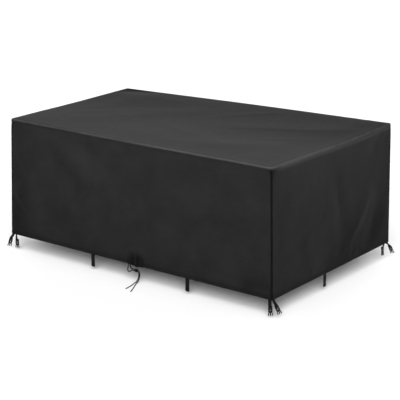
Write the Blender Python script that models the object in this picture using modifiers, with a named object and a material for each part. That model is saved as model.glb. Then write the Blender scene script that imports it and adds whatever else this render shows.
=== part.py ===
"""Rectangular fitted cover for a patio furniture set, as it hangs over the furniture.

Frame: metres, +Z up, +X along the long sides, the front long side facing -Y. The origin is on the
underside of the top panel, over the middle of the furniture that carries it.
"""
import math
from collections import namedtuple

import bmesh
import bpy
from mathutils import Matrix, Vector
from mathutils.geometry import interpolate_bezier

# ---- driving dimensions ----
LENGTH = 2.10            # outer faces of the two short sides
WIDTH = 1.35             # outer faces of the two long sides
DROP = 0.80              # from the furniture's top to the hem's lower edge
FLOOR_Z = -0.910         # what the furniture stands on
CLOTH = 0.002            # coated cloth, modelled thickness
SEAM_GAP = 0.0003        # clearance between touching pieces
ROLL = 0.016             # radius of the cloth's turn over the top edge
SKIRT = 0.006            # part of the top panel that turns down past the roll
HEM_HEIGHT = 0.025
HEM_THICK = 0.004        # the hem is the cloth turned up on the inside
HEM_RADIUS = 0.008       # vertical corners are nearly sharp at the hem
CORNER_EASE = 0.14       # the top corners' larger radius has run out this far down
WEB_WIDTH = 0.025        # polypropylene webbing of the straps
WEB_THICK = 0.0016
STRAP_FREE = 0.050       # webbing that shows between hem and buckle
WEB_ROOT = 0.021         # webbing sewn to the inside of the hem
TAB_FREE = 0.086         # hem to the tab's lower end
CORD_DIA = 0.006

# ---- grid of the cloth: what the faces of each panel are laid out by ----
ROLL_STEPS = 3           # faces across the roll
RINGS = ROLL_STEPS + 2   # outlines of the top panel, from its lower edge to the flat
ARC_COLUMNS = RINGS + 1  # grid columns that a top corner takes
ARC_REACH = 0.050        # part of a side that they take
TOP_STEPS = (16, 14)     # faces between the corners, along X and along Y
TOP_BAND = 0.17          # share of the top over which its edges' heights run out
HEM_STEP = 0.004         # the hem's thickness begins over this height
SEAM_HALF = SEAM_GAP / 2 + 0.00003   # edge of the cloth to the middle of a corner seam
SEAM_FLAT = 0.0010       # flat strip beside a corner seam

# ---- outline: where the corners of the draped cloth come to, as offsets from the sewn box ----
Corner = namedtuple("Corner", "name sign_x sign_y top_dx top_dy top_dz hem_dx hem_dy hem_dz radius")
CORNERS = (
    Corner("front_left", -1, -1, 0.012, -0.008, 0.003, -0.027, -0.002, 0.000, 0.014),
    Corner("front_right", 1, -1, -0.012, 0.004, 0.000, 0.008, -0.004, -0.007, 0.038),
    Corner("back_right", 1, 1, -0.006, 0.024, 0.007, 0.020, 0.003, 0.007, 0.014),
    Corner("back_left", -1, 1, -0.040, -0.093, -0.012, -0.012, 0.005, 0.000, 0.018),
)
# each side runs from its corner to the next one; sag is the dip of its top edge
Side = namedtuple("Side", "name columns rows sag sag_at")
SIDES = (
    Side("front", 38, 17, 0.003, 0.50),
    Side("right", 24, 15, 0.009, 0.63),
    Side("back", 22, 10, -0.0035, 0.48),
    Side("left", 16, 10, 0.003, 0.50),
)

# ---- soft folds: a ridge (rise > 0) or trough along a line on the panel, from its first corner
# and its top edge; they run out towards the seams and the hem ----
Fold = namedtuple("Fold", "along_a down_a along_b down_b half_width rise")
FOLDS = {
    "front": (
        Fold(0.05, 0.16, 0.20, 0.36, 0.045, 0.009),
        Fold(0.36, 0.08, 0.74, 0.36, 0.050, 0.012),
        Fold(0.66, 0.04, 0.88, 0.20, 0.045, -0.009),
        Fold(0.94, 0.05, 1.04, 0.32, 0.040, 0.008),
        Fold(0.02, 0.48, 0.30, 0.70, 0.050, 0.010),
        Fold(0.55, 0.42, 0.72, 0.66, 0.045, 0.008),
        Fold(0.98, 0.44, 1.12, 0.60, 0.050, 0.007),
        Fold(1.08, 0.35, 1.57, 0.30, 0.050, -0.006),
        Fold(1.60, 0.02, 1.70, 0.10, 0.040, 0.006),
        Fold(1.78, 0.18, 1.90, 0.32, 0.050, 0.007),
        Fold(1.58, 0.66, 1.92, 0.67, 0.045, 0.008),
    ),
    "right": (
        Fold(0.71, 0.22, 0.77, 0.48, 0.045, -0.009),
        Fold(1.08, 0.38, 0.84, 0.68, 0.050, 0.012),
        Fold(1.22, 0.50, 1.10, 0.70, 0.050, -0.009),
        Fold(1.16, 0.08, 1.30, 0.01, 0.040, -0.008),
        Fold(0.20, 0.16, 0.52, 0.14, 0.060, 0.006),
        Fold(0.36, 0.55, 0.46, 0.74, 0.045, 0.006),
    ),
    "back": (
        Fold(0.35, 0.10, 0.62, 0.40, 0.070, 0.010),
        Fold(1.30, 0.12, 1.05, 0.50, 0.070, -0.009),
        Fold(1.90, 0.06, 1.60, 0.55, 0.075, 0.012),
    ),
    "left": (
        Fold(0.10, 0.08, 0.42, 0.50, 0.070, 0.010),
        Fold(1.05, 0.30, 0.80, 0.66, 0.070, -0.008),
    ),
    # on the top panel "along" is X and "down" is Y, from the origin
    "top": (
        Fold(0.15, -0.05, 1.00, 0.40, 0.110, 0.005),
        Fold(-0.75, -0.45, -0.10, 0.30, 0.120, 0.004),
        Fold(0.30, -0.50, 0.85, -0.20, 0.100, 0.004),
    ),
}
FOLD_FADE = 0.09         # from a corner seam or the hem
FOLD_FADE_TOP = 0.06     # from the top seam
RELIEF_FADE = 0.20       # on the top panel, from its edges
GATHER_AT = 1.065        # along the front hem, where the drawcord bunches it
GATHER_PITCH = 0.044
GATHER_RISE = 0.005
GATHER_SPREAD = 0.034
GATHER_HEIGHT = 0.11
GATHER_DIP = 0.010       # how far the bunched hem hangs below its line

# ---- corner straps: how far from the corner each is sewn on, where the buckle's bar and its tip
# hang from there, away from the corner and outwards, the share of its width by which the webbing
# is gathered where it's sewn on, and its twist in degrees ----
Strap = namedtuple("Strap", "corner side inset bar_away bar_out tip_away tip_out pinch twist")
STRAPS = (
    Strap("front_left", "front", 0.0440, -0.003, -0.004, 0.004, 0.003, 0.5, 4),
    Strap("front_left", "left", 0.0195, -0.028, 0.006, -0.040, 0.010, 0.0, 6),
    Strap("front_right", "front", 0.0195, -0.013, 0.018, -0.025, 0.032, 0.0, 8),
    Strap("front_right", "right", 0.0195, 0.001, 0.029, 0.000, 0.053, 0.0, 8),
    Strap("back_right", "right", 0.0620, -0.024, -0.017, -0.014, -0.008, 0.2, -5),
    Strap("back_right", "back", 0.0195, -0.020, 0.026, -0.037, 0.032, 0.0, 9),
    Strap("back_left", "back", 0.0195, 0.004, 0.010, 0.006, 0.022, 0.0, 8),
    Strap("back_left", "left", 0.0195, 0.003, 0.006, 0.008, 0.010, 0.1, -6),
)
WEB_STEPS = 7
WEB_HANDLE = 0.015       # stretch over which the webbing leaves the hem and meets the buckle
LOOP_RADIUS = 0.0039     # webbing's turn around the buckle's bar
LOOP_TAIL = 0.014        # its sewn-back end
BUCKLE_REACH = 0.046     # bar to tip

Tab = namedtuple("Tab", "name side fraction")
TABS = (
    Tab("tab_front_left", "front", 0.341),
    Tab("tab_front_right", "front", 0.702),
    Tab("tab_right", "right", 0.430),
    Tab("tab_back_right", "back", 0.298),
    Tab("tab_back_left", "back", 0.664),
    Tab("tab_left", "left", 0.500),
)
TAB_WIDTH = 0.030        # polypropylene webbing of the tabs
TAB_THICK = 0.0034       # two layers of webbing
TAB_END_THICK = 0.0056   # where they are folded up
TAB_END = 0.014
TAB_ROUND = 0.0075       # height of the end's rounded part
TAB_TIP_SHARE = 0.40     # width of its flat tip, as a share of the webbing's

# ---- drawcord: both ends leave the hem, pass through the toggle and lie on the ground ----
Route = namedtuple("Route", "x y z")
TOGGLE_AT = Vector((0.024, -0.686, -0.8330))
TOGGLE_SIZE = (0.016, 0.014, 0.020)
TOGGLE_ROUND = 0.0034
HOLE_OFFSET = 0.0043     # the two holes lie this far above and below its middle
HOLE_RADIUS = 0.0035
GROUND = FLOOR_Z + CORD_DIA / 2
CORD_A = (
    Route(-0.0465, -0.6764, -0.8056), Route(-0.0475, -0.6775, -0.8180),
    Route(-0.0480, -0.6800, -0.8300), Route(-0.0480, -0.6825, -0.8395),
    Route(-0.0457, -0.6845, -0.8467), Route(-0.0398, -0.6857, -0.8513),
    Route(-0.0323, -0.6860, -0.8518), Route(-0.0257, -0.6860, -0.8483),
    Route(-0.0185, -0.6860, -0.8421), Route(-0.0100, -0.6860, -0.8386),
    Route(0.0000, -0.6860, -0.8374), Route(0.0150, -0.6860, -0.8373),
    Route(0.0270, -0.6860, -0.8373), Route(0.0340, -0.6860, -0.8375),
    Route(0.0402, -0.6860, -0.8397), Route(0.0442, -0.6862, -0.8446),
    Route(0.0455, -0.6866, -0.8510), Route(0.0460, -0.6875, -0.8625),
    Route(0.0440, -0.6888, -0.8760), Route(0.0388, -0.6920, -0.8915),
    Route(0.0332, -0.7005, GROUND + 0.0018), Route(0.0322, -0.7160, GROUND),
    Route(0.0430, -0.7480, GROUND), Route(0.0510, -0.7870, GROUND),
    Route(0.0560, -0.8280, GROUND),
)
CORD_B = (
    Route(-0.0340, -0.6738, -0.8068), Route(-0.0333, -0.6752, -0.8140),
    Route(-0.0285, -0.6785, -0.8208), Route(-0.0200, -0.6825, -0.8255),
    Route(-0.0090, -0.6852, -0.8282), Route(0.0040, -0.6860, -0.8288),
    Route(0.0150, -0.6860, -0.8287), Route(0.0330, -0.6860, -0.8287),
    Route(0.0425, -0.6860, -0.8310), Route(0.0503, -0.6862, -0.8384),
    Route(0.0535, -0.6870, -0.8492), Route(0.0545, -0.6885, -0.8620),
    Route(0.0525, -0.6900, -0.8770), Route(0.0477, -0.6930, -0.8925),
    Route(0.0448, -0.7020, GROUND + 0.0018), Route(0.0495, -0.7180, GROUND),
    Route(0.0660, -0.7530, GROUND), Route(0.0880, -0.7950, GROUND),
    Route(0.1150, -0.8530, GROUND),
)


# ---- scene, collections, materials ----
for old in list(bpy.data.objects):
    bpy.data.objects.remove(old, do_unlink=True)


def new_collection(name):
    collection = bpy.data.collections.new(name)
    bpy.context.scene.collection.children.link(collection)
    return collection


PARTS = new_collection("patio_furniture_cover")
CUTTERS = new_collection("cutters")


def new_material(name, color, roughness):
    material = bpy.data.materials.new(name)
    material.use_nodes = True
    shader = material.node_tree.nodes["Principled BSDF"]
    shader.inputs["Base Color"].default_value = (*color, 1.0)
    shader.inputs["Roughness"].default_value = roughness
    shader.inputs["Metallic"].default_value = 0.0
    return material


def move_to(piece, collection):
    for current in list(piece.users_collection):
        current.objects.unlink(piece)
    collection.objects.link(piece)


CLOTH_BLACK = new_material("coated_cloth", (0.030, 0.030, 0.032), 0.62)
WEB_BLACK = new_material("webbing", (0.022, 0.022, 0.023), 0.75)
BUCKLE_BLACK = new_material("buckle_plastic", (0.012, 0.012, 0.012), 0.38)
CORD_BLACK = new_material("drawcord", (0.020, 0.020, 0.021), 0.80)


# ---- helpers ----
def smooth(value):
    """Ease from 0 to 1."""
    value = min(max(value, 0.0), 1.0)
    return value * value * (3.0 - 2.0 * value)


def grid_object(name, columns, rows, place, material, is_thick=None):
    """A grid of columns x rows faces whose point (i, j) is put at place(i, j).

    Where is_thick(j) is true its points join the vertex group "thick".
    """
    mesh = bpy.data.meshes.new(name)
    grid = bmesh.new()
    bmesh.ops.create_grid(grid, x_segments=columns, y_segments=rows, size=1.0)
    thick = []
    for index, vert in enumerate(grid.verts):
        i = round((vert.co.x + 1.0) / 2.0 * columns)
        j = round((vert.co.y + 1.0) / 2.0 * rows)
        vert.co = place(i, j)
        if is_thick and is_thick(j):
            thick.append(index)
    grid.to_mesh(mesh)
    grid.free()
    mesh.materials.append(material)
    mesh.shade_smooth()
    piece = bpy.data.objects.new(name, mesh)
    PARTS.objects.link(piece)
    if thick:
        piece.vertex_groups.new(name="thick").add(thick, 1.0, "REPLACE")
    return piece


def add_thickness(piece, thickness, offset, thin_factor=1.0):
    """Give a sheet its thickness; outside its thick points it gets thin_factor of that."""
    solidify = piece.modifiers.new("thickness", "SOLIDIFY")
    solidify.thickness = thickness
    solidify.offset = offset
    if thin_factor < 1.0:
        solidify.vertex_group = "thick"
        solidify.thickness_vertex_group = thin_factor


# ---- the outline's corners and sides at any height ----
def corner_at(index, depth):
    """Plan position of a corner, depth 0 at the top edge and 1 at the hem."""
    c = CORNERS[index % 4]
    base = Vector((c.sign_x * LENGTH / 2, c.sign_y * WIDTH / 2))
    top = base + Vector((c.top_dx, c.top_dy))
    hem = base + Vector((c.hem_dx, c.hem_dy))
    return top.lerp(hem, depth)


def side_frame(side, depth):
    """The side's two corners, its direction and its outward direction in plan."""
    start, end = corner_at(side, depth), corner_at(side + 1, depth)
    along = (end - start).normalized()
    return start, end, along, Vector((along.y, -along.x))


def corner_arc(corner, toward, depth, inset, radius, angle):
    """Point of a rounded corner, from 45 degrees at the corner's middle to 0 on the side.

    toward is the corner at the other end of the side that the point belongs to.
    """
    point = corner_at(corner, depth)
    other = corner + 1 if (toward - corner) % 4 == 3 else corner - 1
    own = (corner_at(toward, depth) - point).normalized()
    across = (corner_at(other, depth) - point).normalized()
    center = point + (own + across) * (inset + radius)
    return center - radius * (across * math.cos(angle) + own * math.sin(angle))


def edge_sag(side, fraction):
    """Dip of the side's top edge, 0 at both corners."""
    row = SIDES[side]
    power = math.log(0.5) / math.log(row.sag_at)
    return row.sag * math.sin(math.pi * min(max(fraction, 0.0), 1.0) ** power) ** 2


def top_rise(side, fraction):
    """Height of a side's top edge over the nominal one: its corners' heights less its sag."""
    start, end = CORNERS[side].top_dz, CORNERS[(side + 1) % 4].top_dz
    return start + (end - start) * fraction - edge_sag(side, fraction)


def hem_rise(side, fraction):
    """The same for its hem."""
    start, end = CORNERS[side].hem_dz, CORNERS[(side + 1) % 4].hem_dz
    return start + (end - start) * fraction


def fold_height(folds, along, down):
    """Height of the soft folds at a point of a panel."""
    height = 0.0
    point = Vector((along, down))
    for fold in folds:
        start = Vector((fold.along_a, fold.down_a))
        line = Vector((fold.along_b, fold.down_b)) - start
        place = min(max((point - start).dot(line) / line.length_squared, 0.0), 1.0)
        distance = (point - start - line * place).length
        height += fold.rise * math.exp(-(distance / fold.half_width) ** 2)
    return height


# ---- top panel: a flat sheet whose rolled edge turns down into a short skirt ----
def roll_profile(ring):
    """Inset and height of an outline of the top panel; ring 0 is its lower edge."""
    if ring == 0:
        return 0.0, CLOTH - ROLL - SKIRT
    turn = math.radians(90.0 * (ring - 1) / ROLL_STEPS)
    return ROLL * (1.0 - math.cos(turn)), CLOTH - ROLL * (1.0 - math.sin(turn))


def straight_fraction(index, count, length):
    """Where a grid line past the corner's own lines crosses the side, 0 to 1."""
    step = (length - 2 * ARC_REACH) / (count - 2 * ARC_COLUMNS)
    if index < ARC_COLUMNS:
        distance = ARC_REACH * (index - RINGS + 1) / (ARC_COLUMNS - RINGS + 1)
    elif index > count - ARC_COLUMNS:
        distance = length - ARC_REACH * (count - index - RINGS + 1) / (ARC_COLUMNS - RINGS + 1)
    else:
        distance = ARC_REACH + (index - ARC_COLUMNS) * step
    return distance / length


def outline_point(side, ring, index, count):
    """Plan point and side fraction of line `index` on one outline of the top panel."""
    inset = roll_profile(ring)[0]
    far = count - index
    near_line = min(index, far)
    if near_line < ARC_COLUMNS:
        corner, toward = (side, side + 1) if index < far else (side + 1, side)
        angle = math.radians(45.0) * (ARC_COLUMNS - 1 - near_line) / (ARC_COLUMNS - 1 - ring)
        radius = max(CORNERS[corner % 4].radius - inset, 0.003)
        point = corner_arc(corner, toward, 0.0, inset, radius, angle)
        return point, 0.0 if index < far else 1.0
    start = corner_arc(side, side + 1, 0.0, inset, 0.0, 0.0)
    end = corner_arc(side + 1, side, 0.0, inset, 0.0, 0.0)
    fraction = straight_fraction(index, count, (corner_at(side + 1, 0) - corner_at(side, 0)).length)
    return start.lerp(end, fraction), fraction


def top_relief(point):
    """Height of the flat part's low ridges, which fade out towards the edges."""
    reach = min(LENGTH / 2 - abs(point.x), WIDTH / 2 - abs(point.y))
    return fold_height(FOLDS["top"], point.x, point.y) * smooth((reach - 2 * ROLL) / RELIEF_FADE)


def make_top_panel():
    columns, rows = TOP_STEPS[0] + 2 * ARC_COLUMNS, TOP_STEPS[1] + 2 * ARC_COLUMNS
    flat = [corner_arc(k, k + 1, 0.0, ROLL, 0.0, 0.0) for k in range(4)]

    def place(i, j):
        ring = min(i, columns - i, j, rows - j, RINGS)
        if ring < RINGS:
            if j == ring:
                side, index, count = 0, i, columns
            elif i == columns - ring:
                side, index, count = 1, j, rows
            elif j == rows - ring:
                side, index, count = 2, columns - i, columns
            else:
                side, index, count = 3, rows - j, rows
            point, fraction = outline_point(side, ring, index, count)
            return Vector((*point, roll_profile(ring)[1] + top_rise(side, fraction)))
        s = straight_fraction(i, columns, LENGTH)
        t = straight_fraction(j, rows, WIDTH)
        point = flat[0].lerp(flat[1], s).lerp(flat[3].lerp(flat[2], s), t)
        rise = 0.0
        for side, fraction, inside in ((0, s, t), (1, t, 1 - s), (2, 1 - s, 1 - t), (3, 1 - t, s)):
            rise += top_rise(side, fraction) * (1.0 - smooth(inside / TOP_BAND))
        return Vector((*point, CLOTH + top_relief(point) + rise))

    panel = grid_object("top_panel", columns, rows, place, CLOTH_BLACK)
    add_thickness(panel, CLOTH, -1.0)


# ---- side panels: each hangs from the top panel's skirt to the hem ----
Station = namedtuple("Station", "fraction corner_angle seam_distance")
NEAR_SEAM = (
    Station(0.0, 45.0, SEAM_HALF), Station(0.0, 45.0, SEAM_FLAT),
    Station(0.0, 30.0, 0.0), Station(0.0, 15.0, 0.0), Station(0.0, 0.0, 0.0),
)


def side_stations(side):
    """The vertical grid lines of a side panel, from seam to seam."""
    row = SIDES[side]
    length = (corner_at(side + 1, 0.0) - corner_at(side, 0.0)).length
    step = (length - 2 * ARC_REACH) / row.columns
    stations = [ARC_REACH + step * k for k in range(row.columns + 1)]
    if row.name == "front":
        near = 0.9 * GATHER_PITCH
        stations = [s for s in stations if abs(s - GATHER_AT) > near]
        stations += [GATHER_AT + GATHER_PITCH / 4 * k for k in range(-3, 4)]
    straight = [Station(station / length, None, 0.0) for station in sorted(stations)]
    far_seam = [station._replace(fraction=1.0) for station in reversed(NEAR_SEAM)]
    return list(NEAR_SEAM) + straight + far_seam


def gather(along, above_hem):
    """How far the bunched hem stands out, and how far it hangs down."""
    offset = (along - GATHER_AT) / GATHER_SPREAD
    weight = math.exp(-offset * offset) * smooth(1.0 - above_hem / GATHER_HEIGHT)
    wave = math.cos(2.0 * math.pi * (along - GATHER_AT) / GATHER_PITCH)
    return GATHER_RISE * wave * weight, GATHER_DIP * weight


def side_point(side, station, depth):
    """Plan point of a side panel: on its straight stretch, or on the arc at one of its corners."""
    start, end, along, out = side_frame(side, depth)
    if station.corner_angle is None:
        return start.lerp(end, station.fraction)
    first = station.fraction < 0.5
    corner, toward = (side, side + 1) if first else (side + 1, side)
    ease = smooth(depth * DROP / CORNER_EASE)
    radius = CORNERS[corner % 4].radius * (1.0 - ease) + HEM_RADIUS * ease
    point = corner_arc(corner, toward, depth, 0.0, radius, math.radians(station.corner_angle))
    inward = along if first else -along
    return point + (inward + out).normalized() * station.seam_distance


def make_side_panel(side):
    row = SIDES[side]
    lines = side_stations(side)
    out = side_frame(side, 0.5)[3]
    length = (corner_at(side + 1, 0.0) - corner_at(side, 0.0)).length
    drop = DROP + CLOTH - ROLL - SKIRT
    hem_depth = 1.0 - HEM_HEIGHT / drop
    depths = [hem_depth * k / row.rows for k in range(row.rows)]
    depths += [hem_depth - HEM_STEP / drop, hem_depth, 1.0]
    depths.reverse()
    folds = FOLDS[row.name]

    def place(i, j):
        fraction = lines[i].fraction
        point = side_point(side, lines[i], depths[j])
        top_z = CLOTH - ROLL - SKIRT - SEAM_GAP + top_rise(side, fraction)
        height = top_z + DROP - hem_rise(side, fraction)
        along, down = fraction * length, height * depths[j]
        z = top_z - down
        fade = smooth(min(along, length - along, height - down) / FOLD_FADE)
        stand = fold_height(folds, along, down) * fade * smooth(down / FOLD_FADE_TOP)
        if row.name == "front":
            bulge, dip = gather(along, height - down)
            stand += bulge
            z -= dip
        return Vector((*(point + out * stand), z))

    name = f"{row.name}_panel"
    panel = grid_object(name, len(lines) - 1, len(depths) - 1, place, CLOTH_BLACK, lambda j: j < 2)
    add_thickness(panel, HEM_THICK, -1.0, CLOTH / HEM_THICK)


# ---- webbing: a ribbon swept along a path of centres and width directions ----
def ribbon(name, path, thickness, thin_factor=1.0, thick_from=None):
    """path holds (centre, unit width direction, width) from one end to the other.

    From the row thick_from on it has its full thickness, and before it thin_factor of that.
    """
    def place(i, j):
        center, across, width = path[j]
        return center + across * width * (i / 2 - 0.5)

    is_thick = (lambda j: j >= thick_from) if thick_from else None
    piece = grid_object(name, 2, len(path) - 1, place, WEB_BLACK, is_thick)
    add_thickness(piece, thickness, 0.0, thin_factor)


def hem_frame(side, distance, from_start):
    """A point on the hem's inner face at its lower edge, with the panel's directions there."""
    hem, hem_end, along = side_frame(side, 1.0)[:3]
    top, top_end = side_frame(side, 0.0)[:2]
    fraction = distance / (hem_end - hem).length
    if not from_start:
        fraction = 1.0 - fraction
    low = Vector((*hem.lerp(hem_end, fraction), hem_rise(side, fraction) - DROP))
    high = Vector((*top.lerp(top_end, fraction), top_rise(side, fraction)))
    along = Vector((*along, 0.0))
    up = (high - low).normalized()
    out = along.cross(up).normalized()
    return low - out * (HEM_THICK + SEAM_GAP), along, out, up


def hanging(away, out, reach, away_way, out_way):
    """A vector of the given length that goes so far away and out, and otherwise down."""
    fall = math.sqrt(reach ** 2 - away ** 2 - out ** 2)
    return away_way * away + out_way * out - Vector((0.0, 0.0, fall))


def strap_path(strap):
    """Centre line and width directions of a corner strap, and the direction its buckle hangs in."""
    corner = [c.name for c in CORNERS].index(strap.corner)
    side = [s.name for s in SIDES].index(strap.side)
    from_start = corner == side
    origin, along, out, up = hem_frame(side, strap.inset, from_start)
    origin -= out * WEB_THICK / 2
    away = along if from_start else -along
    to_bar = hanging(strap.bar_away, strap.bar_out, STRAP_FREE, away, out)
    hang = hanging(strap.tip_away - strap.bar_away, strap.tip_out - strap.bar_out,
                   BUCKLE_REACH, away, out).normalized()
    narrow = WEB_WIDTH * (1.0 - strap.pinch)
    path = [(origin + up * height, along, narrow) for height in (WEB_ROOT, WEB_ROOT / 2)]
    center = origin + to_bar
    points = interpolate_bezier(origin, origin - up * WEB_HANDLE, center - hang * WEB_HANDLE, center,
                                WEB_STEPS + 1)
    for k, point in enumerate(points):
        direction = hang if k == WEB_STEPS else -up
        if 0 < k < WEB_STEPS:
            direction = (points[k + 1] - points[k - 1]).normalized()
        share = k / WEB_STEPS
        across = Matrix.Rotation(math.radians(strap.twist * smooth(share)), 3, direction) @ along
        across = (across - direction * across.dot(direction)).normalized()
        path.append((point, across, WEB_WIDTH - (WEB_WIDTH - narrow) * (1.0 - smooth(share))))
    return path, center, across, hang


def make_strap(strap, buckle_plate):
    """Webbing that loops around the buckle's bar, and the buckle that hangs in the loop."""
    path, center, across, down = strap_path(strap)
    front = across.cross(down)
    if front.dot(Vector((center.x, center.y, 0.0))) < 0:
        across, front = -across, -front
        path = [(point, -side, width) for point, side, width in path]
    bar = center - front * LOOP_RADIUS
    for angle in (45, 90, 135, 180):
        turn = math.radians(angle)
        offset = front * math.cos(turn) + down * math.sin(turn)
        path.append((bar + offset * LOOP_RADIUS, across, WEB_WIDTH))
    path.append((bar - front * LOOP_RADIUS - down * LOOP_TAIL, across, WEB_WIDTH))
    label = f"{strap.corner}_{strap.side}"
    ribbon(f"strap_{label}", path, WEB_THICK)
    buckle = bpy.data.objects.new(f"buckle_{label}", buckle_plate)
    axes = Matrix((across, -down, front)).transposed()
    buckle.matrix_world = Matrix.Translation(bar) @ axes.to_4x4()
    PARTS.objects.link(buckle)


# ---- buckle: the three-pronged half, a flat plate with two slots; X across, Y up, Z its front ----
BUCKLE_THICK = 0.0044
BUCKLE_HALF = (          # half outline from the middle of the top edge to the middle prong's tip
    (0.0, 0.0017), (0.0140, 0.0017), (0.0155, 0.0002), (0.0155, -0.0190), (0.0140, -0.0245),
    (0.0150, -0.0290), (0.0184, -0.0370), (0.0184, -0.0400), (0.0152, -0.0450),
    (0.0122, -0.0450), (0.0130, -0.0380), (0.0108, -0.0290), (0.0080, -0.0262),
    (0.0050, -0.0262), (0.0034, -0.0280), (0.0028, -0.0430), (0.0016, -0.0445),
)
BUCKLE_SLOTS = (         # half width, upper edge, lower edge
    (0.0128, -0.0017, -0.0055),
    (0.0060, -0.0125, -0.0163),
)


def make_buckle_plate():
    curve = bpy.data.curves.new("buckle", "CURVE")
    curve.dimensions = "2D"
    curve.fill_mode = "BOTH"
    curve.extrude = BUCKLE_THICK / 2
    curve.render_resolution_u = 0
    outlines = [list(BUCKLE_HALF) + [(-x, y) for x, y in reversed(BUCKLE_HALF[1:])]]
    for half_width, upper, lower in BUCKLE_SLOTS:
        outlines.append([(half_width, upper), (half_width, lower),
                         (-half_width, lower), (-half_width, upper)])
    for points in outlines:
        spline = curve.splines.new("POLY")
        spline.points.add(len(points) - 1)
        for slot, (x, y) in zip(spline.points, points):
            slot.co = (x, y, 0.0, 1.0)
        spline.use_cyclic_u = True
    curve.materials.append(BUCKLE_BLACK)
    return curve


# ---- hem tabs: doubled webbing with a thick folded end ----
def make_tab(tab):
    side = [s.name for s in SIDES].index(tab.side)
    start, end = side_frame(side, 1.0)[:2]
    origin, along, out, up = hem_frame(side, (end - start).length * tab.fraction, True)
    origin -= out * TAB_THICK / 2
    path = [(origin + up * WEB_ROOT, along, TAB_WIDTH)]
    for low in (0.0, TAB_FREE / 2, TAB_FREE - TAB_END - 0.001, TAB_FREE - TAB_END):
        path.append((origin - Vector((0.0, 0.0, low)), along, TAB_WIDTH))
    thick_from = len(path) - 1
    for angle in (0, 30, 55, 75):
        turn = math.radians(angle)
        low = TAB_FREE - TAB_ROUND * (1.0 - math.sin(turn))
        width = TAB_WIDTH * (TAB_TIP_SHARE + (1.0 - TAB_TIP_SHARE) * math.cos(turn))
        path.append((origin - Vector((0.0, 0.0, low)), along, width))
    ribbon(tab.name, path, TAB_END_THICK, TAB_THICK / TAB_END_THICK, thick_from)


# ---- drawcord and its toggle ----
def smooth_route(points):
    """The route's points with one more between each two, on a smooth curve through them."""
    ends = [points[0] * 2 - points[1]] + points + [points[-1] * 2 - points[-2]]
    result = []
    for before, start, end, after in zip(ends, ends[1:], ends[2:], ends[3:]):
        result += [start, (start + end) * 9 / 16 - (before + after) / 16]
    return result + [points[-1]]


def make_cord(name, route):
    points = smooth_route([Vector(row) for row in route])
    curve = bpy.data.curves.new(name, "CURVE")
    curve.dimensions = "3D"
    curve.bevel_depth = CORD_DIA / 2
    curve.bevel_resolution = 2
    curve.use_fill_caps = True
    curve.render_resolution_u = 0
    spline = curve.splines.new("POLY")
    spline.points.add(len(points) - 1)
    for slot, point in zip(spline.points, points):
        slot.co = (*point, 1.0)
    curve.materials.append(CORD_BLACK)
    PARTS.objects.link(bpy.data.objects.new(name, curve))


def make_toggle():
    """A rounded block with two through holes, one for each end of the cord."""
    bpy.ops.mesh.primitive_cube_add(size=1.0)
    toggle = bpy.context.object
    toggle.name = toggle.data.name = "cord_toggle"
    toggle.data.transform(Matrix.Diagonal((*TOGGLE_SIZE, 1.0)))
    toggle.location = TOGGLE_AT
    move_to(toggle, PARTS)
    toggle.data.materials.append(BUCKLE_BLACK)
    bevel = toggle.modifiers.new("rounded", "BEVEL")
    bevel.width = TOGGLE_ROUND
    bevel.segments = 2
    for side in (-1, 1):
        bpy.ops.mesh.primitive_cylinder_add(vertices=12, radius=HOLE_RADIUS, depth=0.04,
                                            rotation=(0.0, math.radians(90.0), 0.0))
        cutter = bpy.context.object
        cutter.name = "toggle_hole_upper" if side > 0 else "toggle_hole_lower"
        cutter.location = TOGGLE_AT + Vector((0.0, 0.0, side * HOLE_OFFSET))
        move_to(cutter, CUTTERS)
        cutter.hide_render = True
        cutter.display_type = "WIRE"
        cut = toggle.modifiers.new("hole", "BOOLEAN")
        cut.operation = "DIFFERENCE"
        cut.object = cutter


# ---- assembly ----
make_top_panel()
for side_number in range(4):
    make_side_panel(side_number)
shared_buckle = make_buckle_plate()
for strap_row in STRAPS:
    make_strap(strap_row, shared_buckle)
for tab_row in TABS:
    make_tab(tab_row)
make_cord("drawcord_a", CORD_A)
make_cord("drawcord_b", CORD_B)
make_toggle()
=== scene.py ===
"""Patio furniture cover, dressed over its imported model. Metres, +Z up, the front long side faces -Y."""

import math

import bmesh
import bpy
import numpy as np
from mathutils import Matrix, Vector, noise
from mathutils.geometry import interpolate_bezier


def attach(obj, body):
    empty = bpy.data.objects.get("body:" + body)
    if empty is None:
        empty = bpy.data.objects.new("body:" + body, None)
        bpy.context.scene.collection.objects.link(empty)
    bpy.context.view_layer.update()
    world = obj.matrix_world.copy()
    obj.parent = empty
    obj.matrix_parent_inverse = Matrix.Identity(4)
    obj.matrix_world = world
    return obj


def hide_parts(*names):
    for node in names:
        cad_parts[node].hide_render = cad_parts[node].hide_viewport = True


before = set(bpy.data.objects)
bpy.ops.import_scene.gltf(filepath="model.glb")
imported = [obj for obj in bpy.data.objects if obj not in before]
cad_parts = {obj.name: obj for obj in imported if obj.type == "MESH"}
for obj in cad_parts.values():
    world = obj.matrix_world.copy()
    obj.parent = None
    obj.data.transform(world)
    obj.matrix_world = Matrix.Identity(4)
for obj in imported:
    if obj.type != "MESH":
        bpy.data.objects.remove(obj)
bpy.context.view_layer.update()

# ---- camera ----
# It looks down on the front right corner from about ten metres away.
def put(name, data):
    """Place a new object in the scene."""
    made = bpy.data.objects.new(name, data)
    bpy.context.scene.collection.objects.link(made)
    return made


lens = bpy.data.cameras.new("camera")
lens.lens = 128.94
lens.clip_end = 400.0
camera = put("camera", lens)
camera.location = (5.5043, -7.2875, 2.1541)
camera.rotation_euler = (math.radians(73.6), 0.0, math.radians(37.0))
bpy.context.scene.camera = camera

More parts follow.
